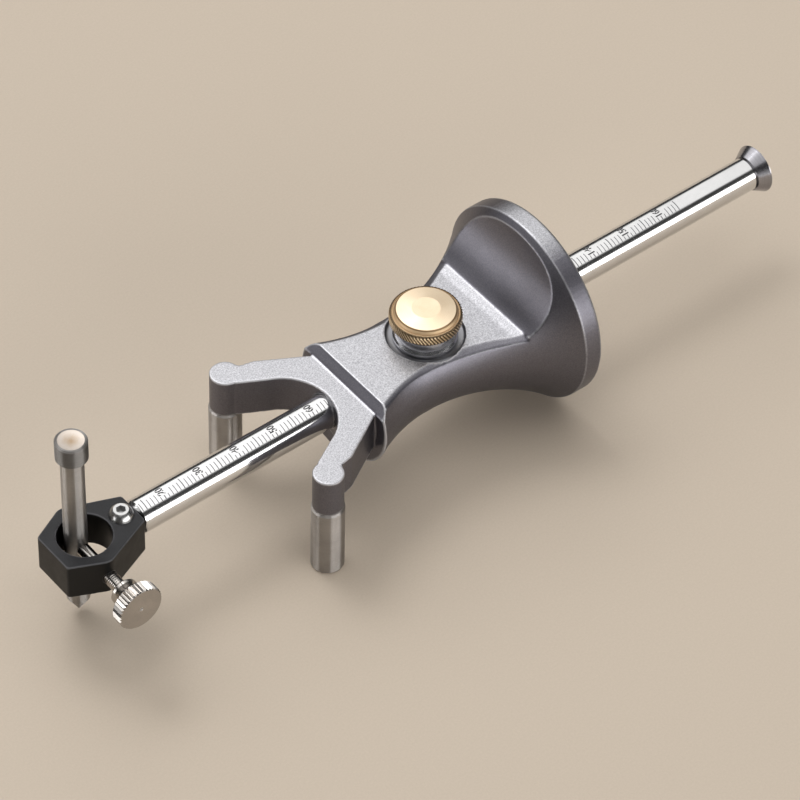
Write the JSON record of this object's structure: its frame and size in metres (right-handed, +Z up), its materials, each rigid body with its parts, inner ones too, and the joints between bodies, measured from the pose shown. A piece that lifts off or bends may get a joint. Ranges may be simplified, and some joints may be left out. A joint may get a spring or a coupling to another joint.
{
  "type": "carpenter scribe",
  "caption": "Carpenter's scribe: a trumpet-shaped fence with a fork and two legs slides on a graduated round rod that carries a scribing pin at one end and a cutting wheel at the other.",
  "frame": {"origin": "on the table, under the middle of the tool's length and width", "axes": "+X along the rod from the scribe pin to the cutting wheel, +Z up, so -Y is the thumb screw's side"},
  "size_m": [0.1986, 0.0478, 0.0543],
  "materials": {
    "grey_anodised": "sandblasted and anodised",
    "steel": "turned",
    "polished_steel": "polished, with an engraved scale",
    "nickel": "bright plated",
    "brass": "turned",
    "black_anodised": "black anodised",
    "dark_steel": "hardened"
  },
  "bodies": {
    "fence": {"fence_body": "grey_anodised", "left_leg": "steel", "right_leg": "steel", "lock_bush": "steel"},
    "wheel": {"cutter_wheel": "dark_steel", "wheel_screw": "dark_steel"},
    "rod": {"scale_rod": "polished_steel", "scribe_block": "black_anodised", "block_screw": "steel"},
    "pin": {"scribe_pin": "steel"},
    "thumb": {"thumb_screw": "nickel"},
    "pad": {"pressure_pad": "brass"},
    "knob": {"lock_knob": "brass"}
  },
  "joints": [
    {"name": "rod_slide", "type": "slide", "parent": "fence", "child": "wheel", "axis": [1, 0, 0], "range_m": [-0.0665, 0.041]},
    {"name": "rod_turn", "type": "hinge", "parent": "wheel", "child": "rod", "pos_m": [0, 0, 0.0239], "axis": [1, 0, 0], "continuous": true},
    {"name": "pin_slide", "type": "slide", "parent": "rod", "child": "pin", "axis": [0, 0, 1], "range_m": [-0.0205, 0.014]},
    {"name": "thumb_screw_turn", "type": "hinge", "parent": "rod", "child": "thumb", "pos_m": [-0.09095, 0, 0.0221], "axis": [0, -1, 0], "range_deg": [0, 720]},
    {"name": "pad_travel", "type": "slide", "parent": "fence", "child": "pad", "axis": [0, 0, 1], "range_m": [0, 0.00121]},
    {"name": "lock_knob_turn", "type": "hinge", "parent": "pad", "child": "knob", "pos_m": [0.00145, 0, 0.0369], "axis": [0, 0, 1], "range_deg": [0, 540]}
  ],
  "couplings": [
    {"joint": "pad_travel", "follows": "lock_knob_turn", "m_per_rad": 0.00012732}
  ]
}
